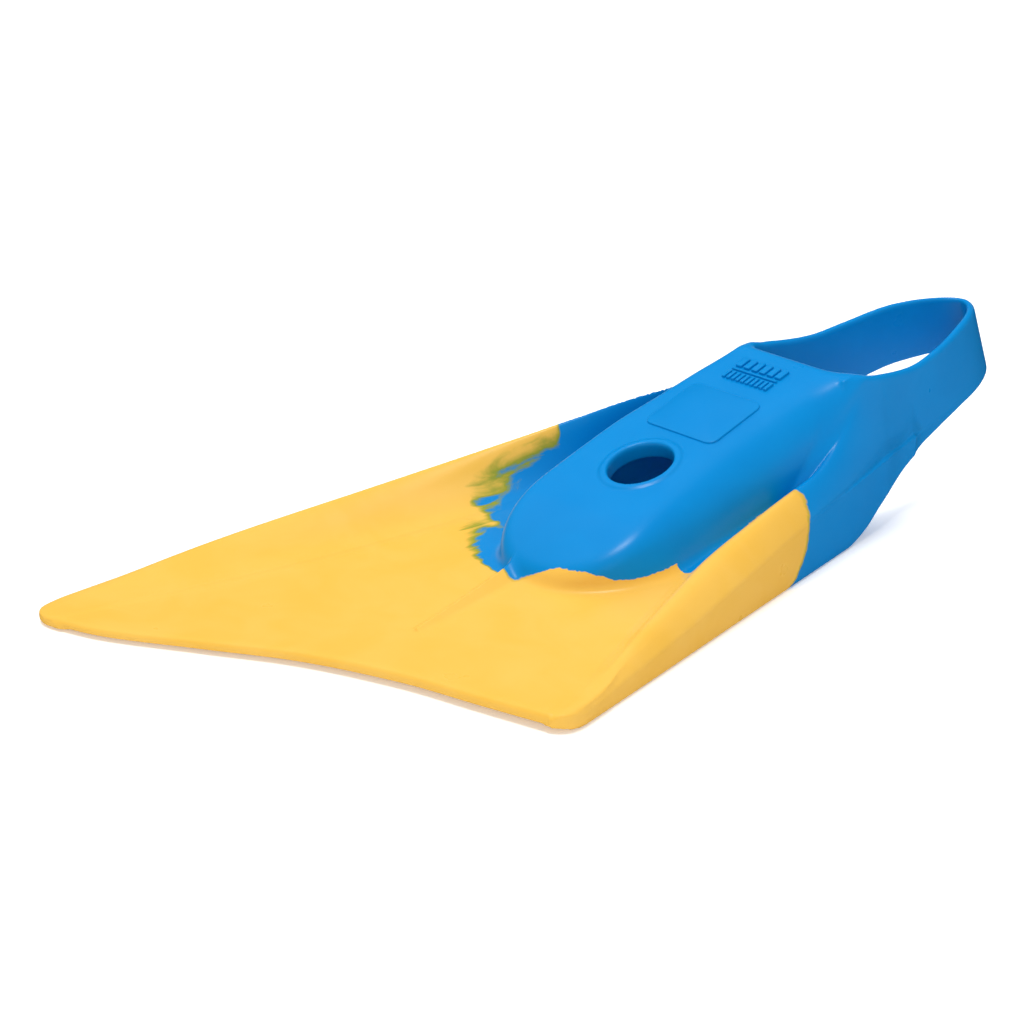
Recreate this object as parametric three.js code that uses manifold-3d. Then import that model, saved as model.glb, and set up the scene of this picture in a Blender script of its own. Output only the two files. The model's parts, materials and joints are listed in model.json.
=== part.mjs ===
// A bodyboarding swim fin for the left foot, one moulding of soft rubber in two colours, lying sole up.
// It is laid up in the mould from the sections below, and it bends at the blade's root and the strap's roots.
// Millimetres. X runs towards the short rail, Y towards the heel, Z up out of the sole.
// While it is being shaped the origin is under the drain hole, on the floor.
import * as THREE from "three";
import Module from "manifold-3d";
import { mergeVertices } from "three/addons/utils/BufferGeometryUtils.js";

const wasm = await Module();
wasm.setup();

// ---- Driving dimensions ----

const GAP = 0.3; // clear gap between neighbouring sections
const WALL = 5; // rubber round the foot
const SOLE_THICKNESS = 6.5;
const WEB_EDGE = 1.7; // half thickness of the blade at its trailing edge
const WEB_ROOT = 3.2; // half thickness of the blade where it meets the foot
const RAIL_WALL = 8; // thickness of a rail's lower wall
const LONG_CREST_IN = 7; // from the long rail's outer edge in to its crest
const SHORT_CREST_IN = 8;
const RAIL_LIP = 0.6; // height of a rail's outer edge over the parting line
const STRAP_THICKNESS = 4;

const TOE_Y = -59; // front of the toe
const TOE_INSIDE_Y = -47; // front of the foot's space
const TOE_HALF_WIDTH = 31;
const TOE_DEPTH = 13; // how far the toe's round front runs back at its sides
const TOE_CLEARANCE = 1; // between the round front and the sections that follow it
const TOE_ROUND = 0.94; // share of a half circle that the round front takes in
const SOLE_END_Y = 86; // where the sole stops under the arch of the foot
const COVER_END_Y = 78; // where the cover over the instep stops
const RAIL_END_Y = 86;

const SOLE_HEIGHT = 45; // outside of the sole over the floor, at the drain hole
const SOLE_SLOPE = 0.29;
const SHOULDER_DROP = 6; // how far the sole's face falls at its side edges
const SHOULDER_START = 0.72; // where the fall starts, as a share of the half width
const NOSE_DROP = 5; // how far it falls at the very front
const NOSE_START_Y = -50;
const THINNEST_SOLE = 1; // rubber left at the sole's lowest edge

const HINGE_MARGIN = 2; // how far a section runs past a hinge before it is cut
const BLADE_HINGE = { y: -64, z: 10, radius: 22 };
const STRAP_HINGE = { y: 98, z: 40, radius: 30 };

const DRAIN = { halfX: 12.6, halfY: 14.1, rim: 4, rimHeight: 1.1 };
const PAD = { x: -1.2, y: 38, halfX: 18.6, halfY: 16, corner: 4, height: 0.7 };
const MARK = { x: -0.7, y: 68, halfX: 12, base: 0.4, height: 1, rowPitch: 4.6 };
const RIB = { fromX: -4.8, fromY: -113, toX: -11, toY: -62, halfWidth: 5, height: 2.8, tip: 0.6 };
const LARGE = 400; // more than the fin in every direction

const STRAP_CENTRE_X = 7.5;
const STRAP_HALF_WIDTH = 31; // outside, at the lip
const STRAP_REACH = 97; // from the strap's hinge back to the heel, at the lip
const STRAP_LEAN = 9.5; // how much further back the lower edge is than the lip
const STRAP_LIP_Z = 71;
const STRAP_CURVE = 1.85; // 2 is an ellipse, and less is more pointed

const YELLOW = "#fbcb55";
const BLUE = "#0a84d6";

// ---- Curves along the fin ----

const mix = (a, b, t) => a + (b - a) * t;
const clamp = (v, low, high) => Math.min(high, Math.max(low, v));

// A smooth curve through a few points, given as [place, value] in order of place.
function curve(points) {
  const slope = points.map((p, i) => {
    const before = points[Math.max(i - 1, 0)];
    const after = points[Math.min(i + 1, points.length - 1)];
    return (after[1] - before[1]) / (after[0] - before[0]);
  });
  return (at) => {
    const last = points.length - 2;
    const found = points.findIndex((p, i) => i <= last && at < points[i + 1][0]);
    const i = found < 0 ? last : found;
    const [x0, v0] = points[i];
    const [x1, v1] = points[i + 1];
    const span = x1 - x0;
    const t = clamp((at - x0) / span, 0, 1);
    const s = t * t;
    const c = s * t;
    const ends = v0 * (2 * c - 3 * s + 1) + v1 * (3 * s - 2 * c);
    return ends + span * (slope[i] * (c - 2 * s + t) + slope[i + 1] * (c - s));
  };
}

const trailingEdgeY = curve([
  [-132, -190], [-130, -198], [-121, -203.5], [-94, -196], [-59, -176.5], [-24, -157],
  [16, -142.5], [50, -135], [74, -129.5], [82, -125], [86, -117],
]);
const partingZ = curve([[-206, 2.6], [-125, 5], [-50, 11], [77, 27], [206, 38]]);
const longEdgeX = curve([
  [-204, -131], [-130, -121], [-60, -98], [12, -68], [60, -44], [86, -31],
]);
const shortEdgeX = (y) => 61.5 - 0.2 * y;
const longFootX = curve([[-204, -117], [-33, -57], [20, -46], [60, -36], [86, -28.5]]);
const shortFootX = curve([[-130, 84], [-22, 46.4], [20, 41], [86, 37.5]]);
const longCrest = curve([[-204, 0], [-170, 4.5], [-80, 13], [0, 20], [50, 26], [86, 27]]);
const shortCrest = curve([[-125, 0], [-76, 7.5], [-32, 10.5], [20, 13], [86, 14]]);
const risingEdgeZ = curve([[60, 0], [76, 0], [90, 5], [102, 16], [126, 24.5], [165, 33], [206, 37]]);
const lowerEdgeZ = (y) => Math.max(0, risingEdgeZ(y));
const coverZ = curve([[-66, 7], [-45, 3.2], [0, 2], [78, 2]]);
const lipZ = curve([[86, 69], [98, 67], [125, 64], [145, 66], [170, 70], [196, STRAP_LIP_Z]]);

const longInsideX = curve([[-47, -23], [-30, -30], [0, -33], [50, -29], [86, -23]]);
const shortInsideX = curve([[-47, 21], [-30, 27.5], [0, 31], [50, 31], [86, 31]]);
const soleHalfWidth = curve([[-59, 8], [-56, 17], [-50, 25], [-38, 32], [-10, 36], [40, 35], [86, 31.5]]);
const soleCentreX = curve([[-59, 0], [20, 0], [86, 4.5]]);
const soleZ = (y) => SOLE_HEIGHT + SOLE_SLOPE * y;
const webHalf = (y) => mix(WEB_EDGE, WEB_ROOT, clamp((y + 200) / 140, 0, 1));

// ---- Closed solids ----

// A box with its corners at 0 and 1, cut into steps and then bent: place takes (u, v, w) to [x, y, z].
function bentBox(stepsU, stepsV, stepsW, place) {
  const box = new THREE.BoxGeometry(1, 1, 1, stepsU, stepsV, stepsW).translate(0.5, 0.5, 0.5);
  box.deleteAttribute("normal");
  box.deleteAttribute("uv");
  const closed = mergeVertices(box, 1e-5);
  const corners = closed.attributes.position;
  for (let i = 0; i < corners.count; i++) {
    corners.setXYZ(i, ...place(corners.getX(i), corners.getY(i), corners.getZ(i)));
  }
  return closed;
}

function toSolid(geometry) {
  const bare = new THREE.BufferGeometry().setAttribute("position", geometry.getAttribute("position"));
  bare.setIndex(geometry.index);
  const merged = mergeVertices(bare, 1e-4);
  const vertProperties = new Float32Array(merged.attributes.position.array);
  const triVerts = new Uint32Array(merged.index.array);
  return new wasm.Manifold(new wasm.Mesh({ numProp: 3, vertProperties, triVerts }));
}

function toGeometry(solid) {
  const made = solid.getMesh();
  const geometry = new THREE.BufferGeometry();
  geometry.setAttribute("position", new THREE.BufferAttribute(made.vertProperties, 3));
  geometry.setIndex(new THREE.BufferAttribute(made.triVerts, 1));
  return geometry;
}

// A cylinder across the whole fin, about a hinge's axis.
function hingeBarrel(hinge, radius) {
  const barrel = new THREE.CylinderGeometry(radius, radius, LARGE, 48).rotateZ(Math.PI / 2);
  return toSolid(barrel.translate(0, hinge.y, hinge.z));
}

// Everything on one side of the upright plane through a hinge: side is -1 for the toe, 1 for the heel.
function hingeSide(hinge, side) {
  const half = new THREE.BoxGeometry(LARGE, LARGE, LARGE);
  return toSolid(half.translate(0, hinge.y + (side * LARGE) / 2, hinge.z));
}

// The part that stays when a piece crosses a hinge: its own side, and the barrel the other turns round.
function keepRoot(geometry, hinge, side) {
  const room = hingeSide(hinge, side).add(hingeBarrel(hinge, hinge.radius - GAP / 2));
  return toGeometry(toSolid(geometry).intersect(room));
}

// The part that turns: the far side of the hinge, hollowed to the barrel.
function keepMoving(geometry, hinge, side) {
  const room = hingeSide(hinge, side).subtract(hingeBarrel(hinge, hinge.radius + GAP / 2));
  return toGeometry(toSolid(geometry).intersect(room));
}

// ---- The blade ----

// The point of the trailing edge that lies a share u of the way between two edges of a section.
function edgePoint(leftX, rightX, u) {
  let y = -165;
  for (let pass = 0; pass < 30; pass++) {
    const x = mix(leftX(y), rightX(y), u);
    y = mix(y, trailingEdgeY(x), 0.6);
  }
  return y;
}

// Places along a section: v runs from the trailing edge to endY, closer together near the edge.
const alongBlade = (leftX, rightX, u, v, endY) => mix(edgePoint(leftX, rightX, u), endY, v ** 1.15);

function bladeWeb() {
  const left = (y) => longFootX(y) + GAP / 2;
  const right = (y) => shortFootX(y) - GAP / 2;
  const plate = bentBox(16, 14, 1, (u, v, w) => {
    const y = alongBlade(left, right, u, v, BLADE_HINGE.y + HINGE_MARGIN);
    const half = webHalf(y);
    return [mix(left(y), right(y), u), y, partingZ(y) + mix(-half, half, w)];
  });
  return keepMoving(plate, BLADE_HINGE, -1);
}

// The rib stands on the web, from a point on the blade up to the toe.
function ribAt(fromY, toY) {
  return bentBox(4, 6, 1, (u, v, w) => {
    const y = mix(fromY, toY, v);
    const along = clamp((y - RIB.fromY) / (RIB.toY - RIB.fromY), 0, 1);
    const x = mix(RIB.fromX, RIB.toX, along) + mix(-1, 1, u) * RIB.halfWidth * mix(0.55, 1, along);
    const base = partingZ(y) + webHalf(y) + GAP;
    const rise = RIB.tip + RIB.height * Math.sqrt(along) * (1 - Math.abs(2 * u - 1) ** 1.5);
    return [x, y, base + w * rise];
  });
}

const centreRib = () => keepMoving(ribAt(RIB.fromY, BLADE_HINGE.y), BLADE_HINGE, -1);

// Height of a rail's upper face over the parting line: e is how far in from the rail's outer edge.
function railTop(e, width, crest, crestAt, y) {
  const web = webHalf(y);
  if (e < crestAt) return mix(RAIL_LIP, Math.max(crest, web), 1 - (1 - e / crestAt) ** 2);
  const out = clamp((e - crestAt) / Math.max(width - crestAt, 1), 0, 1);
  return mix(web, Math.max(crest, web), (1 - out) * mix(0.3, 1, 1 - out));
}

// A rail between its outer edge and its foot on the web: an upper crest, and a wall down to the floor.
function rail(outerX, footX, crestOf, crestAt, yOf) {
  return bentBox(8, 16, 1, (u, v, w) => {
    const y = yOf(u, v);
    const width = Math.abs(footX(y) - outerX(y));
    const e = u * width;
    const x = mix(outerX(y), footX(y), u);
    const wallShare = clamp((RAIL_WALL - e) / 2, 0, 1);
    const low = mix(partingZ(y) - webHalf(y), Math.min(lowerEdgeZ(y), partingZ(y) - webHalf(y)), wallShare);
    const high = partingZ(y) + railTop(e, width, crestOf(y), Math.min(crestAt, 0.45 * width), y);
    return [x, y, mix(low, high, w)];
  });
}

const towardsLong = (x) => (y) => x(y) - GAP / 2;
const towardsShort = (x) => (y) => x(y) + GAP / 2;

function longRailFront() {
  const foot = towardsLong(longFootX);
  const yOf = (u, v) => alongBlade(longEdgeX, foot, u, v, BLADE_HINGE.y + HINGE_MARGIN);
  return keepMoving(rail(longEdgeX, foot, longCrest, LONG_CREST_IN, yOf), BLADE_HINGE, -1);
}

function shortRailFront() {
  const foot = towardsShort(shortFootX);
  const yOf = (u, v) => alongBlade(shortEdgeX, foot, u, v, BLADE_HINGE.y + HINGE_MARGIN);
  const whole = faceOut(rail(shortEdgeX, foot, shortCrest, SHORT_CREST_IN, yOf));
  return keepMoving(whole, BLADE_HINGE, -1);
}

// Turns a geometry's faces round, for a box that was bent into its mirror image.
function faceOut(geometry) {
  const corners = geometry.index.array;
  for (let i = 0; i < corners.length; i += 3) {
    [corners[i + 1], corners[i + 2]] = [corners[i + 2], corners[i + 1]];
  }
  return geometry;
}

// ---- The foot pocket ----

// The toe cap's round front, and straight on to the rails beside it.
function toeFrontY(x) {
  const across = TOE_ROUND * Math.min(1, Math.abs(x) / TOE_HALF_WIDTH);
  return TOE_Y + TOE_DEPTH * (1 - Math.sqrt(1 - across ** 2));
}

const ROOT_FRONT_Y = BLADE_HINGE.y - BLADE_HINGE.radius - HINGE_MARGIN;

function bladeRoot() {
  const left = (y) => longFootX(y) + GAP / 2;
  const right = (y) => shortFootX(y) - GAP / 2;
  const plate = bentBox(24, 4, 1, (u, v, w) => {
    const nearY = toeFrontY(mix(left(TOE_Y), right(TOE_Y), u));
    const y = mix(ROOT_FRONT_Y, toeFrontY(mix(left(nearY), right(nearY), u)) - TOE_CLEARANCE, v);
    const half = webHalf(y);
    return [mix(left(y), right(y), u), y, partingZ(y) + mix(-half, half, w)];
  });
  return keepRoot(plate, BLADE_HINGE, 1);
}

const railRearY = (u, v) => mix(ROOT_FRONT_Y, RAIL_END_Y, v);

function longRailRear() {
  const whole = rail(longEdgeX, towardsLong(longFootX), longCrest, LONG_CREST_IN, railRearY);
  return keepRoot(whole, BLADE_HINGE, 1);
}

function shortRailRear() {
  const whole = rail(shortEdgeX, towardsShort(shortFootX), shortCrest, SHORT_CREST_IN, railRearY);
  return keepRoot(faceOut(whole), BLADE_HINGE, 1);
}

// How far the sole's face drops towards its own side edges: share is 0 on the centre line and 1 at the edge.
const shoulder = (share) => SHOULDER_DROP * clamp((share - SHOULDER_START) / (1 - SHOULDER_START), 0, 1) ** 2;
const noseDrop = (y) => NOSE_DROP * clamp((NOSE_START_Y - y) / (NOSE_START_Y - TOE_Y), 0, 1) ** 2;

function soleWithHole() {
  const plate = bentBox(20, 24, 1, (u, v, w) => {
    const y = mix(TOE_Y, SOLE_END_Y, v ** 1.3);
    const side = mix(-1, 1, u);
    const under = soleZ(y) - SOLE_THICKNESS;
    const top = soleZ(y) - shoulder(Math.abs(side)) - noseDrop(y);
    const x = soleCentreX(y) + side * soleHalfWidth(y);
    return [x, y, mix(under, Math.max(top, under + THINNEST_SOLE), w)];
  });
  return toSolid(plate);
}

// An upright tube wall of the drain hole's shape, turned square to the sole.
function drainPlug(grow, low, high) {
  const plug = new THREE.CylinderGeometry(1, 1, high - low, 40).rotateX(Math.PI / 2);
  plug.translate(0, 0, (high + low) / 2).scale(DRAIN.halfX + grow, DRAIN.halfY + grow, 1);
  return toSolid(plug.rotateX(Math.atan(SOLE_SLOPE)).translate(0, 0, SOLE_HEIGHT));
}

const solePanel = () => toGeometry(soleWithHole().subtract(drainPlug(DRAIN.rim + GAP, -20, 20)));

// The collar lines the drain hole and stands a little proud of the sole.
function drainCollar() {
  const body = drainPlug(DRAIN.rim, -SOLE_THICKNESS + 0.4, DRAIN.rimHeight);
  return toGeometry(body.subtract(drainPlug(0, -20, 20)));
}

// A flat-backed plate with round corners, lying on the sole and turned to its slope.
function soleShape(halfX, halfY, corner) {
  const shape = new THREE.Shape();
  shape.absarc(halfX - corner, halfY - corner, corner, 0, Math.PI / 2);
  shape.absarc(corner - halfX, halfY - corner, corner, Math.PI / 2, Math.PI);
  shape.absarc(corner - halfX, corner - halfY, corner, Math.PI, 1.5 * Math.PI);
  shape.absarc(halfX - corner, corner - halfY, corner, 1.5 * Math.PI, 2 * Math.PI);
  return shape;
}

const lieOnSole = (geometry, x, y) =>
  geometry.rotateX(Math.atan(SOLE_SLOPE)).translate(x, y, soleZ(y) + GAP);

function plateOnSole(plate, height) {
  const shape = soleShape(plate.halfX, plate.halfY, plate.corner);
  return new THREE.ExtrudeGeometry(shape, { depth: height, bevelEnabled: false, curveSegments: 5 });
}

const labelPad = () => lieOnSole(plateOnSole(PAD, PAD.height), PAD.x, PAD.y);

// A plain size mark without letters: two rows of raised bars with one long bar between them.
function sizeMark() {
  const halfY = MARK.rowPitch + 3;
  let mark = toSolid(plateOnSole({ halfX: MARK.halfX + 1, halfY, corner: 1 }, MARK.base));
  const bar = (x, y, wide, tall) => {
    const block = new THREE.BoxGeometry(wide, tall, MARK.height).translate(x, y, MARK.height / 2);
    mark = mark.add(toSolid(block));
  };
  bar(0, 0, 2 * MARK.halfX, 1);
  for (let i = 0; i < 6; i++) {
    bar(mix(-MARK.halfX + 1.5, MARK.halfX - 1.5, i / 5), -MARK.rowPitch, 2.8, 4.6);
  }
  for (let i = 0; i < 9; i++) {
    bar(mix(-MARK.halfX + 1, MARK.halfX - 1, i / 8), MARK.rowPitch, 1.7, 4.2);
  }
  return lieOnSole(toGeometry(mark), MARK.x, MARK.y);
}

// The toe cap closes the front of the foot's space, from the cover up to the sole.
function toeCap() {
  return bentBox(12, 3, 1, (u, v, w) => {
    const side = mix(-1, 1, u);
    const y = mix(toeFrontY(side * TOE_HALF_WIDTH), TOE_INSIDE_Y, v);
    const low = coverZ(y) + WALL + GAP;
    return [side * TOE_HALF_WIDTH, y, mix(low, soleZ(y) - SOLE_THICKNESS - GAP, w)];
  });
}

// A side wall of the foot's space: flat inside, and outside it falls from the sole to the rail's foot.
function pocketWall(insideX, footX) {
  const frontY = toeFrontY(TOE_HALF_WIDTH) + TOE_CLEARANCE;
  return bentBox(4, 16, 1, (u, v, w) => {
    const besideToe = v * 16 < 1.5;
    const y = besideToe ? mix(frontY, TOE_INSIDE_Y + GAP, v * 16) : mix(TOE_INSIDE_Y, SOLE_END_Y, v);
    const side = Math.sign(insideX(y));
    const inside = besideToe ? side * (TOE_HALF_WIDTH + GAP) : insideX(y);
    const outside = footX(y) - (side * GAP) / 2;
    const x = mix(inside, outside, u);
    const reach = clamp((soleHalfWidth(y) - 2 - Math.abs(inside)) / Math.abs(outside - inside), 0.1, 0.6);
    const fall = clamp((u - reach) / (1 - reach), 0, 1);
    const high = mix(soleZ(y) - SOLE_THICKNESS - GAP, partingZ(y) + webHalf(y), fall ** 0.7);
    const low = Math.max(coverZ(y) + WALL + GAP, mix(-99, partingZ(y) - webHalf(y), fall), lowerEdgeZ(y));
    return [x, y, mix(low, high, w)];
  });
}

const pocketWallLong = () => faceOut(pocketWall(longInsideX, longFootX));
const pocketWallShort = () => pocketWall(shortInsideX, shortFootX);

// The cover over the toes and instep, on the floor side.
function instepCover() {
  return bentBox(12, 12, 1, (u, v, w) => {
    const side = mix(-1, 1, u);
    const y = mix(toeFrontY(side * TOE_HALF_WIDTH) + TOE_CLEARANCE, COVER_END_Y, v);
    const left = Math.max(longInsideX(y) - WALL, longFootX(y) + GAP);
    const right = Math.min(shortInsideX(y) + WALL, shortFootX(y) - GAP);
    const low = coverZ(y) + 2.5 * Math.abs(side) ** 4;
    return [mix(left, right, u), y, mix(low, coverZ(y) + WALL, w)];
  });
}

// ---- The heel strap ----

// Half the strap's width outside, at a place y along it and a height z.
function strapHalfWidth(y, z) {
  const lean = clamp((STRAP_LIP_Z - z) / 35, 0, 1.6);
  const reach = STRAP_REACH + STRAP_LEAN * lean;
  const along = clamp((y - STRAP_HINGE.y) / reach, 0, 1);
  return (STRAP_HALF_WIDTH + 1.5 * lean) * (1 - along ** STRAP_CURVE) ** (1 / STRAP_CURVE);
}

function strapRoot(side) {
  const arm = bentBox(1, 10, 6, (u, v, w) => {
    const y = mix(SOLE_END_Y + GAP, STRAP_HINGE.y + STRAP_HINGE.radius + HINGE_MARGIN, v);
    const z = mix(lowerEdgeZ(y), lipZ(y), w);
    const out = strapHalfWidth(y, z) - u * STRAP_THICKNESS;
    return [STRAP_CENTRE_X + side * out, y, z];
  });
  return keepRoot(side > 0 ? faceOut(arm) : arm, STRAP_HINGE, -1);
}

// The loop behind the heel: u runs round it from the long side to the short side.
function heelStrap() {
  const loop = bentBox(40, 1, 4, (u, v, w) => {
    const turn = Math.PI * u;
    const rise = (angle, power) => Math.abs(Math.sin(angle)) ** power;
    const guess = STRAP_HINGE.y + STRAP_REACH * rise(turn, 2 / STRAP_CURVE);
    const z = mix(lowerEdgeZ(guess), lipZ(guess), w);
    const lean = clamp((STRAP_LIP_Z - z) / 35, 0, 1.6);
    const across = STRAP_HALF_WIDTH + 1.5 * lean - v * STRAP_THICKNESS;
    const reach = STRAP_REACH + STRAP_LEAN * lean - v * STRAP_THICKNESS;
    const swing = Math.sign(Math.cos(turn)) * Math.abs(Math.cos(turn)) ** (2 / STRAP_CURVE);
    const y = STRAP_HINGE.y + reach * rise(turn, 2 / STRAP_CURVE);
    return [STRAP_CENTRE_X - across * swing, y, z];
  });
  return keepMoving(faceOut(loop), STRAP_HINGE, 1);
}

// ---- Assembly ----

const fin = new THREE.Group();

function add(name, geometry, colour) {
  const material = new THREE.MeshStandardMaterial({ color: colour, roughness: 0.42, metalness: 0 });
  const mesh = new THREE.Mesh(geometry, material);
  mesh.name = name;
  fin.add(mesh);
}

add("blade_web", bladeWeb(), YELLOW);
add("centre_rib", centreRib(), YELLOW);
add("long_rail_front", longRailFront(), YELLOW);
add("short_rail_front", shortRailFront(), YELLOW);
add("blade_root", bladeRoot(), YELLOW);
add("long_rail_rear", longRailRear(), BLUE);
add("short_rail_rear", shortRailRear(), BLUE);
add("toe_cap", toeCap(), BLUE);
add("sole_panel", solePanel(), BLUE);
add("drain_collar", drainCollar(), BLUE);
add("label_pad", labelPad(), BLUE);
add("size_mark", sizeMark(), BLUE);
add("pocket_wall_long", pocketWallLong(), BLUE);
add("pocket_wall_short", pocketWallShort(), BLUE);
add("instep_cover", instepCover(), BLUE);
add("strap_root_long", strapRoot(-1), BLUE);
add("strap_root_short", strapRoot(1), BLUE);
add("heel_strap", heelStrap(), BLUE);

// The origin goes to the middle of the underside of the whole fin.
const box = new THREE.Box3().setFromObject(fin);
const centre = box.getCenter(new THREE.Vector3());
fin.position.set(-centre.x, -centre.y, -box.min.z);

export default fin;
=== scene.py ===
import json
import math
import bmesh
import bpy
import numpy as np
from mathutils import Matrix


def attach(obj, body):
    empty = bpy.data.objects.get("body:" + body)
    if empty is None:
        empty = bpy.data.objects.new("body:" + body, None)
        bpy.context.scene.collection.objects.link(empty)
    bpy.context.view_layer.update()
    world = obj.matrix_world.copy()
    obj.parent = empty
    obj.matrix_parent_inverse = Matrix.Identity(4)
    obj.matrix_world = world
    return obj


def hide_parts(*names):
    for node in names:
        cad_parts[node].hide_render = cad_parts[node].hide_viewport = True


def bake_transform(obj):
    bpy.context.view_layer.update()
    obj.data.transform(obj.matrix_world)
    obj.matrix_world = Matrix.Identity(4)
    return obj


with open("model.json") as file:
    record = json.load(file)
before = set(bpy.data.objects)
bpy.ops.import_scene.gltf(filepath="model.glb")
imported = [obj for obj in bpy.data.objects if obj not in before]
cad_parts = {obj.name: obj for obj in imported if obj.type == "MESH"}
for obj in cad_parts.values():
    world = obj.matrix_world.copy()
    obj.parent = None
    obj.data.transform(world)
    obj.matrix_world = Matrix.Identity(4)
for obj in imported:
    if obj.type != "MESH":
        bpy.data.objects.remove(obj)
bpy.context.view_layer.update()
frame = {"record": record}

import openvdb
from mathutils import Vector

# ---- The blade ----
# The blade is a thin web of yellow rubber that stiffens towards the foot. It is moulded in one shot with the
# rest of the fin, in a two-part mould that meets on the parting surface, halfway through the web.

# All shapes are in millimetres, about a point on the floor under the drain hole. The line that the blade
# bends about lies straight ahead of that point.
BLADE_HINGE_Y = -64
BLADE_HINGE_Z = 10
joints = {joint["name"]: joint for joint in frame["record"]["behaviour"]["joints"]}
blade_axis = Vector(joints["blade_flex"]["pos_m"])
ORIGIN = Vector((blade_axis.x, blade_axis.y - BLADE_HINGE_Y / 1000, 0))


def curve(points):
    """A smooth curve through a few points, each (place, value), in order of place."""
    place, value = np.array(points, float).T
    ahead = np.append(np.arange(1, len(place)), len(place) - 1)
    behind = np.insert(np.arange(len(place) - 1), 0, 0)
    slope = (value[ahead] - value[behind]) / (place[ahead] - place[behind])

    def at(where):
        i = np.clip(np.searchsorted(place, where, side="right") - 1, 0, len(place) - 2)
        span = place[i + 1] - place[i]
        t = np.clip((where - place[i]) / span, 0, 1)
        ends = value[i] * (2 * t**3 - 3 * t**2 + 1) + value[i + 1] * (3 * t**2 - 2 * t**3)
        return ends + span * (slope[i] * (t**3 - 2 * t**2 + t) + slope[i + 1] * (t**3 - t**2))

    return at


def join(a, b, blend):
    """Two solids as one, with a fillet of about blend mm between them."""
    share = np.clip(0.5 + 0.5 * (b - a) / blend, 0, 1)
    return b + (a - b) * share - blend * share * (1 - share)


def meet(a, b, blend):
    """What two solids share, with its edge rounded over about blend mm."""
    return -join(-a, -b, blend)


def ease(value):
    """0 below 0, 1 above 1, and a smooth rise between them."""
    step = np.clip(value, 0, 1)
    return step * step * (3 - 2 * step)


def mix(a, b, share):
    return a + (b - a) * share


trailing_edge_y = curve([
    (-140, -206), (-119, -203.5), (-94, -196), (-59, -176.5), (-24, -157), (16, -142.5), (50, -135),
    (90, -126),
])
parting_z = curve([(-206, 2.6), (-125, 5), (-50, 11), (77, 27), (206, 38)])
long_edge_x = curve([
    (-206, -131), (-130, -121), (-60, -98), (12, -68), (60, -43), (86, -30), (104, -25), (130, -18),
])
WEB_EDGE = 1.7
WEB_ROOT = 3.2
WEB_END_Y = 70
LONG_TIP_RADIUS = 17
SHORT_TIP_RADIUS = 13


def short_edge_x(y):
    return 61.5 - 0.2 * y


def web_half(y):
    """Half the web's thickness, which grows from the trailing edge to the toe."""
    return mix(WEB_EDGE, WEB_ROOT, np.clip((y + 200) / 140, 0, 1))


def blade_outline(x, y):
    """Distance outside the fin's outline, seen from above."""
    long_side = 0.97 * (long_edge_x(y) - x)
    short_side = 0.98 * (x - short_edge_x(y))
    back = 0.9 * (trailing_edge_y(x) - y)
    return meet(meet(long_side, back, LONG_TIP_RADIUS), short_side, SHORT_TIP_RADIUS)


def blade_web(x, y, z):
    """The web ends inside each rail, so that only the rail shows where the rail is tall."""
    plate = np.abs(z - parting_z(y)) - web_half(y)
    under_long = 5 * ease((long_crest(y) - 3) / 4) - (x - long_edge_x(y))
    under_short = 5 * ease((short_crest(y) - 3) / 4) - (short_edge_x(y) - x)
    plate = np.maximum(plate, np.maximum(under_long, under_short))
    return np.maximum(meet(plate, blade_outline(x, y), 2.3), y - WEB_END_Y)


# ---- The side rails ----
# Each rail is solid rubber along one edge of the blade, thin at the tip and tall beside the foot. Above the
# parting line it swells to a round crest, and below it a flat wall goes down to the floor.

RAIL_WALL = 7
RAILS_END_Y = 150
LONG_RAIL_TIP_Y = -202
SHORT_RAIL_TIP_Y = -127
# Where each rail's inner slope ends on the web, and how high its crest stands over the parting line. The
# short rail's crest climbs to the strap's lip and becomes its outer face.
long_foot_x = curve([(-206, -117), (-33, -57), (20, -46), (60, -36), (86, -22), (130, -8)])
short_foot_x = curve([(-130, 84), (-22, 46.4), (20, 41), (60, 37.5), (86, 34), (130, 24)])
long_crest = curve([(-206, 0), (-170, 4.5), (-80, 14), (0, 21), (50, 26), (86, 25), (104, 14), (126, 0)])
short_crest = curve([
    (-125, 0), (-76, 7.5), (-32, 10.5), (20, 13), (60, 14), (78, 16.5), (90, 22), (104, 35), (150, 36),
])
rising_edge_z = curve([
    (60, 0), (76, 0), (90, 4), (102, 11.5), (126, 23), (165, 33), (185, 35.5), (208, 38.5),
])


def lower_edge_z(x, y):
    """The fin's lower edge: on the floor in front, rising along the strap, and higher on the long side."""
    return np.maximum(0, rising_edge_z(y) + 8 * ease((10 - x) / 16) * ease((y - 100) / 28))


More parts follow.
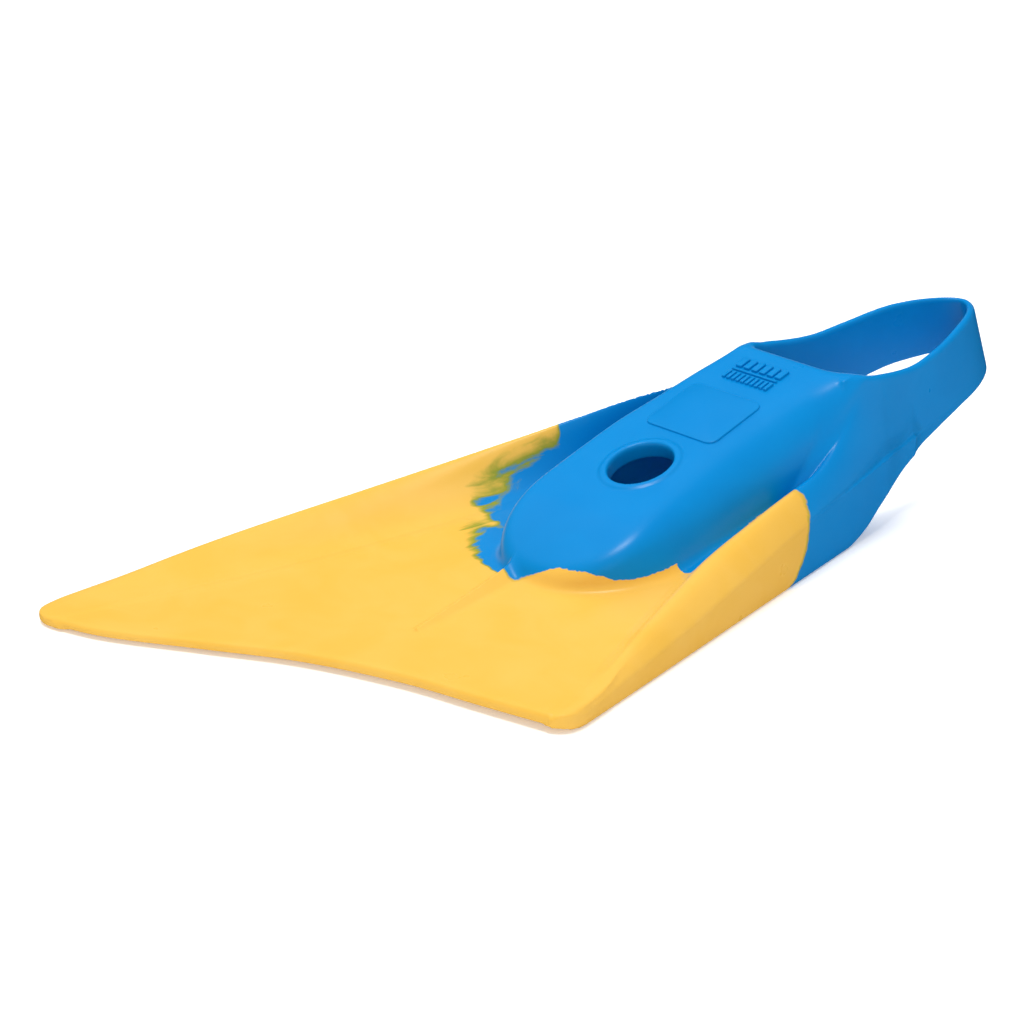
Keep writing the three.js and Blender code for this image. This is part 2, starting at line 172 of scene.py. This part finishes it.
def rail(inward, width, crest, crest_at, round_crest, groove, tip_y, y, z):
    """A rail, from the distance inward from its outer edge to its width, where its slope ends on the web.

    Its crest stands crest_at inward. With round_crest 0 its inner slope is hollow and its outer face is full,
    and towards 1 both are round. The inner slope goes no more than groove below the crest.
    """
    parting = parting_z(y)
    web = web_half(y)
    crest = np.maximum(crest, web)
    crest_at = np.minimum(crest_at, (0.45 + 0.2 * round_crest) * width)
    short_of = np.clip(1 - inward / crest_at, 0, 2)
    full = np.where(short_of < 1, np.sqrt(np.maximum(1 - short_of**2, 0)), 2 - 2 * short_of)
    outer = crest * mix(full, 1.07 - (short_of**2 + 0.03) ** 0.75, round_crest)
    slope = np.clip((inward - crest_at) / np.maximum(width - crest_at, 1), -0.3, 1)
    hollow = (1 - slope) * (0.35 + 0.65 * (1 - slope))
    inner = web + (crest - web) * mix(hollow, 1 - ease(slope), round_crest) + 0.3
    inner = np.maximum(inner, crest - groove) - np.clip(inward - width, 0, 30)
    top = join(outer, inner, 5)
    upper = np.maximum(np.maximum((z - parting - top) * 0.72, parting - 1.4 - z), -inward)
    bottom = (parting - web) * ease(1 - 1.6 * (y - tip_y) / 14)
    wall = np.maximum(np.maximum(-inward, bottom - z), np.maximum(z - parting, inward - RAIL_WALL))
    return np.minimum(upper, wall)


def rails(x, y, z):
    """Both rails, cut to the fin's outline in front and sinking into the heel strap behind."""
    edge = long_edge_x(y)
    inward, width = 0.94 * (x - edge), 0.94 * (long_foot_x(y) - edge)
    long_rail = rail(inward, width, long_crest(y), 7, 0, 99, LONG_RAIL_TIP_Y, y, z)
    edge = short_edge_x(y)
    inward, width = 0.98 * (edge - x), 0.98 * (edge - short_foot_x(y))
    groove = mix(20, 0.3, ease((y - 5) / 80))
    short_rail = rail(inward, width, short_crest(y), 12, 0.8, groove, SHORT_RAIL_TIP_Y, y, z)
    past_strap = strap_side(x, y, z) - mix(14, 2, ease((y - 90) / 50))
    past_strap = np.where(y < 80, y - RAILS_END_Y, past_strap)
    cut = np.maximum(np.maximum(blade_outline(x, y), y - RAILS_END_Y), past_strap)
    return np.maximum(np.minimum(long_rail, short_rail), cut)


# ---- The centre rib ----
# A low rib runs from the toe out on to the web. It has a sharp edge on its long side and a broad slope on the
# other, and where it meets the toe it climbs it in a small point.

RIB_TIP = (-4.8, -114)
RIB_ROOT = (-12, -55)
RIB_END_Y = -57


def centre_rib(x, y, z):
    along = (y - RIB_TIP[1]) / (RIB_ROOT[1] - RIB_TIP[1])
    across = x - mix(RIB_TIP[0], RIB_ROOT[0], along)
    share = np.clip(along, 0, 1)
    height = 1.5 + 2.6 * share
    broad = 3.4 + 4 * share
    ridge = height * np.minimum(1 + across / 1.6, 1 - across / broad) * np.clip(1 + along * 12, 0, 1)
    body = (z - parting_z(y) - web_half(y) - ridge) * 0.8
    return np.maximum(np.maximum(body, -along * 60 - 2), np.maximum(y - RIB_END_Y, parting_z(y) - z))


# ---- The foot pocket ----
# The pocket is a shell of blue rubber about 5 mm thick round the front of the foot. The flat sole is its
# upper face as the fin lies, it closes over the toes, and the cover over the instep is on the floor side.

SOLE_HEIGHT = 45
SOLE_SLOPE = 0.29
SOLE_THICKNESS = 6.5
COVER_THICKNESS = 4.6
POCKET_WALL = 5.2
POCKET_END_Y = 120
SOLE_END_Y = 86
COVER_END_Y = 78
TOE_Y = -62
TOE_LENGTH = 46
SOLE_TILT = math.atan(SOLE_SLOPE)
TOE_FALL = 0.006

short_side_x = curve([(-59, 43), (-25, 43), (0, 42), (20, 40.5), (50, 39.2), (86, 38.7), (110, 38.5)])
long_side_x = curve([
    (-59, 34.5), (-25, 34.8), (0, 36), (20, 36.2), (40, 33.8), (55, 31.8), (70, 29.5), (86, 26.5), (110, 24),
])
short_lean = curve([(-59, 0.2), (-20, 0.45), (20, 0.36), (60, 0.16), (90, 0.05)])
long_lean = curve([(-59, 0.02), (-20, 0.1), (20, 0.13), (60, 0.1), (90, 0.03)])
cover_z = curve([(-60, 6), (-40, 3.2), (0, 2.2), (78, 2.2)])


def sole_z(y):
    return SOLE_HEIGHT + SOLE_SLOPE * y


def pocket_side(x, y, z):
    """Distance outside the pocket's side wall, which is round before the toes and leans in to the sole."""
    above = np.maximum(z - parting_z(y), 0)
    below = np.maximum(parting_z(y) - z, 0)
    short = x > 0
    lean = np.where(short, short_lean(y), long_lean(y)) * above + 0.3 * below
    half = np.where(short, short_side_x(y), long_side_x(y)) - lean
    front = TOE_LENGTH - 0.12 * above - 1.3 * below
    across = np.abs(x) / half
    ahead = np.maximum(TOE_Y + TOE_LENGTH - y, 0) / front
    power = np.where(short, 2.05, 2.6)
    ring = np.maximum((across**power + ahead**power) ** (1 / power), 1e-3)
    steep = np.hypot(across ** (power - 1) / half, ahead ** (power - 1) / front) / ring ** (power - 1)
    return (ring - 1) / np.maximum(steep, 1e-3)


def over_sole(y, z):
    """The height over the sole, which is flat under the foot and falls away over the toes."""
    fall = TOE_FALL * np.maximum(-20 - y, 0) ** 2
    return (z - sole_z(y) + fall) * math.cos(SOLE_TILT)


def pocket_shell(x, y, z):
    """The pocket's outside. Its side walls turn into the strap's behind the foot, and sink into it."""
    side = mix(pocket_side(x, y, z), strap_side(x, y, z), ease((y - 58) / 44))
    side = side + 5 * ease((y - 100) / 20)
    shoulder = mix(4.5 + 12 * ease((x + 12) / 32) * ease((y + 60) / 90), 3, ease((y - 68) / 30))
    shell = meet(meet(side, over_sole(y, z), shoulder), cover_z(y) - z, 6)
    return np.maximum(shell, y - POCKET_END_Y)


def foot_space(x, y, z):
    """The room for the foot inside the pocket."""
    side = pocket_side(x, y, z) + POCKET_WALL
    sole = over_sole(y, z) + SOLE_THICKNESS
    inside = meet(meet(side, sole, 12), cover_z(y) + COVER_THICKNESS - z, 10)
    return np.maximum(inside, y - POCKET_END_Y - 1)


# ---- The drain hole ----
# An oval hole through the sole lets water and sand out past the toes. Its edge is thickened with a round
# collar that stands a little proud of the sole.

DRAIN_X = 0.5
DRAIN_HALF_X = 12.6
DRAIN_HALF_Y = 14.1
DRAIN_RADIUS = 13.3
COLLAR_RADIUS = 1.6


def on_sole(y, z):
    """Where a point lies along the sole from the drain hole, and how high over the sole."""
    along = y * math.cos(SOLE_TILT) + (z - SOLE_HEIGHT) * math.sin(SOLE_TILT)
    over = (z - SOLE_HEIGHT) * math.cos(SOLE_TILT) - y * math.sin(SOLE_TILT)
    return along, over


def drain_side(x, along):
    """Distance outside the hole's oval wall."""
    ring = np.hypot((x - DRAIN_X) / DRAIN_HALF_X, along / DRAIN_HALF_Y)
    return (ring - 1) * DRAIN_RADIUS


def drain_collar(x, y, z):
    along, over = on_sole(y, z)
    across = np.maximum(np.abs(drain_side(x, along) - COLLAR_RADIUS) - 0.5, 0)
    return np.hypot(across, over + 0.7) - COLLAR_RADIUS


def drain_hole(x, y, z):
    along, over = on_sole(y, z)
    return np.maximum(drain_side(x, along), np.abs(over) - 16)


# ---- The heel strap ----
# The strap is a loop of blue rubber 4 mm thick that carries the pocket's side walls on round the back of the
# heel. Its lip dips and rises again, its lower edge curves up to meet it, and its back leans out downwards.

STRAP_CENTRE_X = 7.5
STRAP_HALF_WIDTH = 31
STRAP_REACH = 97
STRAP_START_Y = 98
STRAP_LEAN = 15
STRAP_LIP_Z = 71
STRAP_THICKNESS = 3.8
STRAP_CURVE = 1.85
STRAP_HINGE_Z = 40

lip_z = curve([
    (50, 100), (72, 80), (82, 70.8), (90, 69), (98, 67), (125, 64), (145, 66), (170, 70), (210, 71.3),
])


def strap_side(x, y, z):
    """Distance outside the strap's outer face."""
    below = parting_z(y) - z
    below = (below + np.hypot(below, 2.5)) / 2
    lean = np.clip((STRAP_LIP_Z - np.maximum(z, parting_z(y))) / 35, -0.2, 1.6)
    half = STRAP_HALF_WIDTH - 1.5 * lean - 0.2 * below
    reach = STRAP_REACH + STRAP_LEAN * lean - 0.2 * below
    across = np.abs(x - STRAP_CENTRE_X) / half
    back = np.maximum(y - STRAP_START_Y, 0) / reach
    ring = np.maximum((across**STRAP_CURVE + back**STRAP_CURVE) ** (1 / STRAP_CURVE), 1e-3)
    power = STRAP_CURVE - 1
    steep = np.hypot(across**power / half, back**power / reach) / ring**power
    return (ring - 1) / np.maximum(steep, 1e-3)


def heel_strap(x, y, z):
    """The strap starts buried in the pocket's walls and comes out of them behind the foot."""
    side = strap_side(x, y, z)
    buried = STRAP_THICKNESS * (1 - ease((y - 80) / 22))
    over_start = z - sole_z(y) + 1 - 6 * ease((y - 84) / 10)
    loop = np.maximum(side + buried, -side - STRAP_THICKNESS - 1)
    return np.maximum(loop, np.maximum(82 - y, over_start))


def heel_space(x, y, z):
    """The room for the heel inside the strap. It cuts the arch in the sole and the edge of the cover."""
    end = mix(COVER_END_Y, SOLE_END_Y, ease((z - 12) / 30))
    return meet(strap_side(x, y, z) + STRAP_THICKNESS, end - y, 6 + 12 * ease((x + 5) / 25))


# ---- The moulding ----
# The whole fin is one skin of rubber. It is worked out as a single solid from the shapes above, and parted
# into the sections that the fin is laid up from, so that the skin runs on unbroken from one to the next.


def moulding(x, y, z):
    """Below 0 inside the rubber, and about the distance to its face in millimetres elsewhere."""
    body = join(blade_web(x, y, z), rails(x, y, z), 2.5)
    body = join(body, centre_rib(x, y, z), 0.8)
    body = join(body, pocket_shell(x, y, z), 3.5 + 12 * ease((y - 40) / 45))
    body = join(body, drain_collar(x, y, z), 1.0)
    body = meet(body, -foot_space(x, y, z), 2)
    body = join(body, heel_strap(x, y, z), 2 + 2 * ease((y - 100) / 15) * (1 - ease((y - 120) / 20)))
    body = meet(body, -heel_space(x, y, z), 2.5)
    body = meet(body, z - lip_z(y), 2.5)
    body = meet(body, lower_edge_z(x, y) - z, 1.5)
    return meet(body, -drain_hole(x, y, z), 1.4)


VOXEL = 0.85
LOW = np.array((-136.0, -209.0, -3.0))
HIGH = np.array((92.0, 210.0, 78.0))


SLAB = 24


def sample_moulding():
    """The solid's value at every point of a grid, in slabs along the fin."""
    steps = np.ceil((HIGH - LOW) / VOXEL).astype(int)
    x, y, z = (LOW[i] + VOXEL * np.arange(steps[i]) for i in range(3))
    grid = np.empty(steps, np.float32)
    for start in range(0, steps[1], SLAB):
        slab = slice(start, start + SLAB)
        grid[:, slab, :] = moulding(x[:, None, None], y[None, slab, None], z[None, None, :])
    return grid


def gradient(points, step=0.25):
    """The direction out of the rubber at each point, not scaled to length 1."""
    found = np.empty_like(points)
    for i in range(3):
        shift = np.zeros(3)
        shift[i] = step
        found[:, i] = (moulding(*(points + shift).T) - moulding(*(points - shift).T)) / (2 * step)
    return found


def skin_mesh():
    """The skin's points, its four-sided faces and the way out at each point."""
    grid = openvdb.FloatGrid()
    grid.copyFromArray(np.clip(sample_moulding(), -4 * VOXEL, 4 * VOXEL))
    points, _, quads = grid.convertToPolygons(isovalue=0.0, adaptivity=0.0)
    points = LOW + VOXEL * points.astype(float)
    # The points are drawn on to the face itself, each by no more than most of a voxel at a time.
    for _ in range(3):
        out = gradient(points)
        length2 = np.maximum((out**2).sum(1), 0.05)
        move = out * (moulding(*points.T) / length2)[:, None]
        distance = np.maximum(np.linalg.norm(move, axis=1), 1e-6)
        points -= move * np.minimum(1, 0.7 * VOXEL / distance)[:, None]
    out = gradient(points, 0.6)
    out /= np.maximum(np.linalg.norm(out, axis=1), 1e-6)[:, None]
    return points, quads, out


skin_points, skin_faces, skin_normals = skin_mesh()
corner = skin_points[skin_faces]
face_normal = np.cross(corner[:, 2] - corner[:, 0], corner[:, 3] - corner[:, 1])
if (face_normal * skin_normals[skin_faces[:, 0]]).sum() < 0:
    skin_faces = skin_faces[:, ::-1]

# ---- Parting the skin into sections ----
# Each section takes the faces whose middles lie in its part of the fin, as the rubber is laid in the mould.

BLADE_BARREL = 22
STRAP_BARREL = 30
mid_x, mid_y, mid_z = corner.mean(1).T
from_blade_hinge = np.hypot(mid_y - BLADE_HINGE_Y, mid_z - BLADE_HINGE_Z)
from_strap_hinge = np.hypot(mid_y - STRAP_START_Y, mid_z - STRAP_HINGE_Z)
in_blade = (mid_y < BLADE_HINGE_Y) & (from_blade_hinge > BLADE_BARREL)
in_strap = (mid_y > STRAP_START_Y) & (from_strap_hinge > STRAP_BARREL)
on_long = mid_x < long_foot_x(mid_y)
on_short = mid_x > short_foot_x(mid_y)
behind = mid_y > SOLE_END_Y
along_sole, height = on_sole(mid_y, mid_z)
on_web = pocket_side(mid_x, mid_y, mid_z) > 0.5
over_web = mid_z > parting_z(mid_y) + web_half(mid_y) + 0.25
on_rib = (centre_rib(mid_x, mid_y, mid_z) < 0.4) & over_web
on_collar = (drain_side(mid_x, along_sole) < 4.2) & (np.abs(height) < SOLE_THICKNESS + 1)

section_of = np.select(
    [
        in_strap,
        behind & (mid_x < STRAP_CENTRE_X),
        behind,
        on_long & in_blade,
        on_long,
        on_short & in_blade,
        on_short,
        on_rib & in_blade,
        on_web & in_blade,
        on_web & (mid_y < -45),
        on_collar,
        over_sole(mid_y, mid_z) > -SOLE_THICKNESS - 1.5,
        mid_z < cover_z(mid_y) + 6,
        mid_y < -47,
        mid_x < 0,
    ],
    [
        "heel_strap", "strap_root_long", "strap_root_short", "long_rail_front", "long_rail_rear",
        "short_rail_front", "short_rail_rear", "centre_rib", "blade_web", "blade_root", "drain_collar",
        "sole_panel", "instep_cover", "toe_cap", "pocket_wall_long",
    ],
    "pocket_wall_short",
)


def place(points):
    """Points in millimetres under the drain hole, as the whole scene's metres."""
    return (np.asarray(points) / 1000 + np.array(ORIGIN)).astype(np.float32)


def section_mesh(name, faces):
    """A mesh of some of the skin's faces, shaded by the whole skin's normals."""
    used, corners = np.unique(faces, return_inverse=True)
    corners = corners.reshape(faces.shape)
    mesh = bpy.data.meshes.new(name)
    mesh.from_pydata(place(skin_points[used]).tolist(), [], corners.tolist())
    mesh.shade_smooth()
    mesh.normals_split_custom_set_from_vertices(skin_normals[used].tolist())
    return mesh, used


# ---- The two rubbers ----
# Yellow and blue compounds are laid in the mould side by side and flow together as they cure. Where they met
# early the line is crisp and a little ragged, and on the web it is smeared into green wisps.


class Value:
    """A number that a material works out: Python's operators on it add Math nodes."""

    def __init__(self, tree, socket):
        self.tree = tree
        self.socket = socket

    def maths(self, operation, *others):
        return self.tree.node("ShaderNodeMath", {"operation": operation}, [self, *others])

    def __add__(self, other):
        return self.maths("ADD", other)

    def __sub__(self, other):
        return self.maths("SUBTRACT", other)

    def __rsub__(self, other):
        return self.tree.node("ShaderNodeMath", {"operation": "SUBTRACT"}, [other, self])

    def __mul__(self, other):
        return self.maths("MULTIPLY", other)

    __radd__ = __add__
    __rmul__ = __mul__


class Material:
    """A new node material, and one way to add any node to it."""

    def __init__(self, name):
        self.made = bpy.data.materials.new(name)
        self.made.use_nodes = True
        self.tree = self.made.node_tree
        self.surface = self.tree.nodes["Principled BSDF"]

    def node(self, kind, settings, inputs, output=0):
        node = self.tree.nodes.new(kind)
        for key, value in settings.items():
            setattr(node, key, value)
        pairs = inputs.items() if isinstance(inputs, dict) else enumerate(inputs)
        for key, value in pairs:
            self.link(node.inputs[key], value)
        return Value(self, node.outputs[output])

    def link(self, socket, value):
        if isinstance(value, Value):
            self.tree.links.new(value.socket, socket)
        else:
            socket.default_value = value

    def mix_colour(self, share, a, b):
        inputs = {0: share, 6: a, 7: b}
        return self.node("ShaderNodeMix", {"data_type": "RGBA"}, inputs, 2)

    def smooth_step(self, value, low, high):
        settings = {"interpolation_type": "SMOOTHSTEP"}
        return self.node("ShaderNodeMapRange", settings, [value, low, high, 0.0, 1.0])

    def noise(self, where, scale, detail=3.0, distortion=0.0):
        inputs = {"Vector": where, "Scale": scale, "Detail": detail, "Distortion": distortion}
        return self.node("ShaderNodeTexNoise", {}, inputs)


def colour(red, green, blue):
    """A colour as a paint chart gives it, 0 to 255, as the linear colour that a shader takes."""
    shares = [part / 255 for part in (red, green, blue)]
    linear = [(v / 12.92) if v < 0.0404 else ((v + 0.055) / 1.055) ** 2.4 for v in shares]
    return (*linear, 1.0)


YELLOW = colour(231, 180, 72)
YELLOW_PALE = colour(233, 184, 82)
BLUE = colour(0, 130, 200)
BLUE_DEEP = colour(0, 127, 197)
GREEN = colour(110, 138, 38)
CRISP = 0.7


def rubber():
    """Both compounds in one material, told apart by the skin's own record of where the blue one lies."""
    made = Material("moulded_rubber")
    where = made.node("ShaderNodeTexCoord", {}, [], "Object")
    blue = made.node("ShaderNodeAttribute", {"attribute_name": "blue_depth"}, [], "Fac")
    smear = made.node("ShaderNodeAttribute", {"attribute_name": "smear"}, [], "Fac")
    ragged = made.noise(where, 420.0, 4.0) - 0.5
    along_flow = made.node("ShaderNodeMapping", {"vector_type": "TEXTURE"}, {
        "Vector": where, "Rotation": (0, 0, -0.34), "Scale": (0.5, 1.8, 1.0),
    })
    wisp = made.noise(along_flow, 60.0, 5.0, 1.5) - 0.5
    depth = blue + wisp * 3.2 * (smear - CRISP) + ragged * 1.8
    width = smear * 0.34 + 0.05
    share = made.smooth_step(depth, width * -0.4, width)
    green = made.smooth_step(depth, width * -3.0, width * 0.2) * made.smooth_step(smear, 0.9, 3.0)
    mottle = made.smooth_step(made.noise(where, 34.0, 4.0, 0.6), 0.3, 0.7)
    yellow = made.mix_colour(mottle, YELLOW, YELLOW_PALE)
    yellow = made.mix_colour(green * 0.9, yellow, GREEN)
    blues = made.mix_colour(mottle, BLUE, BLUE_DEEP)
    made.link(made.surface.inputs["Base Color"], made.mix_colour(share, yellow, blues))
    patches = made.noise(where, 55.0, 3.0)
    made.link(made.surface.inputs["Roughness"], patches * 0.12 + 0.24)
    made.surface.inputs["Specular IOR Level"].default_value = 0.26
    grain = made.noise(where, 2600.0, 3.0)
    waves = made.noise(where, 110.0, 2.0)
    bump = made.node(
        "ShaderNodeBump", {}, {"Strength": 0.16, "Distance": 0.0006, "Height": grain * 0.22 + waves * 0.5},
    )
    made.link(made.surface.inputs["Normal"], bump)
    return made.made


rubber_material = rubber()

# Seen from above, blue lies on the foot's side of this line across the long side of the blade.
blue_from_x = curve([
    (-68, 10), (-64, -12), (-60, -27), (-53, -39), (-46, -46), (-40, -48), (-35, -43), (-30, -59), (-18, -62),
    (-8, -61.5), (6, -60), (15, -61), (20, -90),
])
# On the short side yellow lies outside this line, up to an end that is round, and lower down further forward.
yellow_from_x = curve([(-25, 48), (-20, 47), (8, 41.3), (29, 38.8), (60, 38.4)])
yellow_end_y = curve([(-1, 24), (3, 33), (11, 40), (22, 42), (30, 44), (40, 44)])


def blue_depth(x, y, z):
    """How far inside the blue compound a point lies, in millimetres."""
    over_web = z - parting_z(y) - web_half(y)
    long_part = np.clip(x - blue_from_x(y), -40, 40)
    climb = 7.5 * ease((x + 8) / 22) * (1 - 0.6 * ease((x - 22) / 14))
    toe_part = np.minimum((over_web - climb) * 1.2, y + 64.5)
    toe_part = np.where(y > -20, 40, toe_part)
    front = mix(long_part, toe_part, ease((x + 14) / 8))
    short_part = meet(yellow_from_x(y) - x, y - yellow_end_y(z), 15)
    return np.minimum(front, np.where(x > 20, short_part, 40))


# The patches where the compounds smear, each as its reach, its middle and its half length along x and y:
# on the web beside the toe, before the toe, on the long rail, and at the yellow's end on the short rail.
SMEARS = (
    (12, (-58, -28), (20, 24)),
    (6, (-28, -56), (20, 14)),
    (1.5, (-60, 12), (20, 16)),
    (1.6, (54, 37), (10, 16)),
)


def smear_width(x, y):
    """How far the wisps reach, in millimetres."""
    width = CRISP
    for reach, middle, half in SMEARS:
        width = width + reach * np.exp(-(((x - middle[0]) / half[0]) ** 2) - ((y - middle[1]) / half[1]) ** 2)
    return width


def finish_section(name, mesh, used):
    """Lays the compounds on a section, and ties it to the foot pocket if it lies wholly behind the blade's
    bend; strap sections and the rest stay fixed in the scene.
    """
    x, y, z = skin_points[used].T
    for label, value in (("blue_depth", blue_depth(x, y, z)), ("smear", smear_width(x, y))):
        layer = mesh.attributes.new(label, "FLOAT", "POINT")
        layer.data.foreach_set("value", value.astype(np.float32))
    mesh.materials.append(rubber_material)
    piece = bpy.data.objects.new("skin_" + name, mesh)
    bpy.context.scene.collection.objects.link(piece)
    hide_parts(name)
    if name in STRAP_SECTIONS:
        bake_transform(piece)
    elif y.min() > BLADE_BEND_Y:
        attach(piece, "foot_pocket")
    else:
        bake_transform(piece)


# The real rubber bends at two hinges: from the toe out along the blade, and from the back of the sole out
# along the strap.
# Sections in the strap, or reaching forward past the toe, are left fixed in the scene and not tied to the
# foot pocket.
BLADE_BEND_Y = -57
STRAP_SECTIONS = ("heel_strap", "strap_root_long", "strap_root_short")
for section in sorted(set(section_of.tolist())):
    section_skin, section_points = section_mesh("skin_" + section, skin_faces[section_of == section])
    finish_section(section, section_skin, section_points)

# ---- The label pad and the size mark ----
# A plain raised pad on the sole takes a sticker, and behind it the mould raises a mark for the size. Both are
# part of the blue rubber. The mark is plain bars: two rows of blocks with a long bar between them.

PAD_CENTRE = (-1.2, 38)
PAD_HALF = (18.6, 16)
MARK_CENTRE = (-0.7, 68)
MARK_HALF_X = 12
ALL_BLUE = 40.0


def raised_plate(mesh, x, y, half_x, half_y, radius, height, edge):
    """Adds a plate with round corners and a round upper edge, lying on the sole at x, y."""
    rings = [(0.0, -0.4), (0.0, height - edge), (edge * 0.3, height - edge * 0.3), (edge, height)]
    sides = ((1, 1), (-1, 1), (-1, -1), (1, -1))
    turns = [(quarter, math.pi / 2 * (quarter + step / 6)) for quarter in range(4) for step in range(7)]
    loops = []
    for inset, over in rings:
        loop = []
        for quarter, turn in turns:
            across = sides[quarter][0] * (half_x - radius) + (radius - inset) * math.cos(turn)
            up = sides[quarter][1] * (half_y - radius) + (radius - inset) * math.sin(turn)
            point = (
                x + across,
                y + up * math.cos(SOLE_TILT) - over * math.sin(SOLE_TILT),
                sole_z(y) + up * math.sin(SOLE_TILT) + over * math.cos(SOLE_TILT),
            )
            loop.append(mesh.verts.new(place(point)))
        loops.append(loop)
    count = len(turns)
    for low, high in zip(loops, loops[1:]):
        for i in range(count):
            mesh.faces.new((low[i], low[(i + 1) % count], high[(i + 1) % count], high[i]))
    mesh.faces.new(loops[-1])


def finish_mark(name, mesh):
    """Makes the raised plates one piece of blue rubber that moves with the foot pocket."""
    data = bpy.data.meshes.new("skin_" + name)
    mesh.normal_update()
    mesh.to_mesh(data)
    mesh.free()
    data.shade_smooth()
    data.set_sharp_from_angle(angle=math.radians(50))
    for label, value in (("blue_depth", ALL_BLUE), ("smear", 1.0)):
        layer = data.attributes.new(label, "FLOAT", "POINT")
        layer.data.foreach_set("value", np.full(len(data.vertices), value, np.float32))
    data.materials.append(rubber_material)
    piece = bpy.data.objects.new("skin_" + name, data)
    bpy.context.scene.collection.objects.link(piece)
    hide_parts(name)
    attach(piece, "foot_pocket")


pad = bmesh.new()
raised_plate(pad, *PAD_CENTRE, *PAD_HALF, 4, 0.65, 0.35)
finish_mark("label_pad", pad)

mark = bmesh.new()
raised_plate(mark, *MARK_CENTRE, MARK_HALF_X, 0.5, 0.3, 0.9, 0.25)
for i in range(6):
    raised_plate(mark, mix(-11.2, 9.8, i / 5), MARK_CENTRE[1] + 4.8, 1.55, 3.1, 0.4, 1.1, 0.25)
for i in range(10):
    raised_plate(mark, mix(-11.9, 10.5, i / 9), MARK_CENTRE[1] - 4.2, 0.8, 2.6, 0.3, 1.1, 0.25)
finish_mark("size_mark", mark)

# ---- The studio ----
# A pale paper floor under a wide soft ceiling light, set back on the long side. A small light overhead makes
# the highlights, and two weak ones fill the near side and pick out the far edges.


def studio_floor():
    """A wide sheet of white paper, just below the fin."""
    bpy.ops.mesh.primitive_plane_add(size=30, location=(0, 0, -0.0002))
    floor = bpy.context.object
    floor.name = "studio_floor"
    made = Material("studio_paper")
    made.surface.inputs["Base Color"].default_value = (0.9, 0.9, 0.9, 1)
    made.surface.inputs["Roughness"].default_value = 0.9
    made.surface.inputs["Specular IOR Level"].default_value = 0.1
    made.surface.inputs["Emission Color"].default_value = (1, 1, 1, 1)
    made.surface.inputs["Emission Strength"].default_value = 0.25
    floor.data.materials.append(made.made)
    floor.visible_glossy = False


def soft_box(name, place_at, aim, size, power, glossy=True):
    """A rectangular light of some watts, aimed at a point, that may be kept out of reflections."""
    light = bpy.data.lights.new(name, "AREA")
    light.shape = "RECTANGLE"
    light.size, light.size_y = size
    light.energy = power
    box = bpy.data.objects.new(name, light)
    box.location = place_at
    box.rotation_euler = (Vector(aim) - Vector(place_at)).to_track_quat("-Z", "Y").to_euler()
    box.visible_glossy = glossy
    bpy.context.scene.collection.objects.link(box)


studio_floor()
soft_box("overhead_light", (0.12, -0.3, 1.5), (0, 0, 0.03), (0.5, 0.3), 10)
soft_box("ceiling_light", (-1.2, 0.5, 2.0), (0, 0, 0.03), (3.0, 3.0), 52, glossy=False)
soft_box("side_light", (1.3, -1.1, 0.7), (0, 0, 0.03), (1.0, 0.8), 7.5, glossy=False)
soft_box("back_light", (-1.6, 1.5, 0.12), (0, 0, 0.04), (2.4, 0.25), 1.5)
world = bpy.data.worlds.new("studio")
world.use_nodes = True
world.node_tree.nodes["Background"].inputs["Color"].default_value = (1, 1, 1, 1)
world.node_tree.nodes["Background"].inputs["Strength"].default_value = 0.45
world.cycles_visibility.glossy = False
bpy.context.scene.world = world
bpy.context.scene.view_settings.view_transform = "Standard"

CAMERA_AZIMUTH = math.radians(46)
CAMERA_ELEVATION = math.radians(22.5)
CAMERA_DISTANCE = 1.150
CAMERA_LENS = 103
aim = Vector(place((-25.4, -45.5, 30)).tolist())
towards = Vector((
    math.sin(CAMERA_AZIMUTH) * math.cos(CAMERA_ELEVATION),
    -math.cos(CAMERA_AZIMUTH) * math.cos(CAMERA_ELEVATION),
    math.sin(CAMERA_ELEVATION),
))
camera = bpy.data.objects.new("camera", bpy.data.cameras.new("camera"))
camera.data.lens = CAMERA_LENS
camera.data.sensor_width = 36
camera.location = aim + CAMERA_DISTANCE * towards
camera.rotation_euler = (-towards).to_track_quat("-Z", "Y").to_euler()
bpy.context.scene.collection.objects.link(camera)
bpy.context.scene.camera = camera
